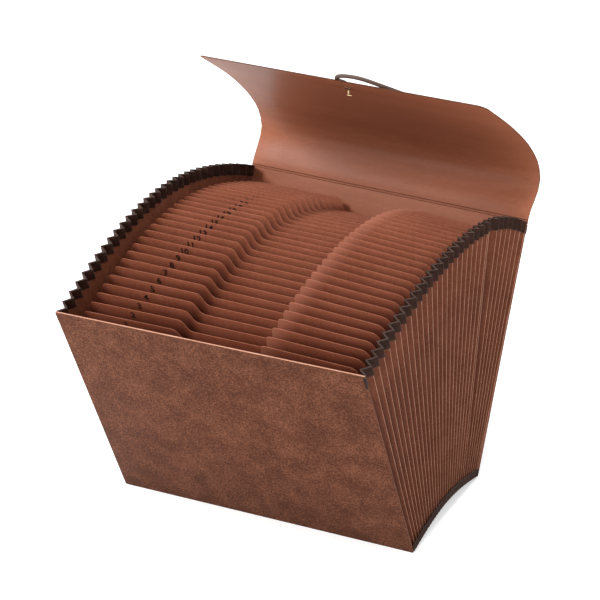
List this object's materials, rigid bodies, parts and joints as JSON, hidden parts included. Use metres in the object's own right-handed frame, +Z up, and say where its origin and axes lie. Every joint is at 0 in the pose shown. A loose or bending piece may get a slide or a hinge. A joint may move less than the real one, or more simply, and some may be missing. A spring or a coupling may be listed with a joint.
{
  "type": "expanding file folder",
  "caption": "Accordion file folder standing open like a fan, with pleated sides, index dividers, board covers, a raised curved flap and an elastic loop.",
  "frame": {"origin": "centre of the bounding box's footprint, at the level the covers stand on", "axes": "+Z up, the front cover faces -Y, +X to the right seen from the front"},
  "size_m": [0.3152, 0.3902, 0.3951],
  "materials": {
    "cover_board": "leather-grained brown board, satin",
    "divider_card": "smooth reddish-brown card, matte",
    "pleated_card": "folded reddish-brown card, matte",
    "tape": "dark grey-brown binding tape",
    "elastic": "braided dark brown elastic",
    "brass": "light brass"
  },
  "bodies": {
    "case": {"front_cover": "cover_board", "back_cover": "cover_board", "gusset_left": "pleated_card", "gusset_right": "pleated_card", "pocket_floor": "pleated_card", "top_tape_left": "tape", "top_tape_right": "tape", "foot_tape_left": "tape", "foot_tape_right": "tape", "front_corner_tape_left": "tape", "front_corner_tape_right": "tape", "back_corner_tape_left": "tape", "back_corner_tape_right": "tape", "divider_01": "divider_card", "divider_02": "divider_card", "divider_03": "divider_card", "divider_04": "divider_card", "divider_05": "divider_card", "divider_06": "divider_card", "divider_07": "divider_card", "divider_08": "divider_card", "divider_09": "divider_card", "divider_10": "divider_card", "divider_11": "divider_card", "divider_12": "divider_card", "divider_13": "divider_card", "divider_14": "divider_card", "divider_15": "divider_card", "divider_16": "divider_card", "divider_17": "divider_card", "divider_18": "divider_card", "divider_19": "divider_card", "divider_20": "divider_card", "divider_21": "divider_card", "divider_22": "divider_card", "divider_23": "divider_card", "divider_24": "divider_card", "divider_25": "divider_card", "divider_26": "divider_card", "divider_27": "divider_card", "divider_28": "divider_card", "divider_29": "divider_card", "divider_30": "divider_card"},
    "flap": {"flap": "cover_board", "eyelet": "brass", "toggle_shank": "brass", "toggle_bar": "brass", "elastic_cord": "elastic"}
  },
  "joints": [
    {"name": "flap_hinge", "type": "hinge", "parent": "case", "child": "flap", "pos_m": [0.00318, 0.16919, 0.2356], "axis": [0.9991, -0.0385, -0.0149], "range_deg": [-150, 28]}
  ]
}
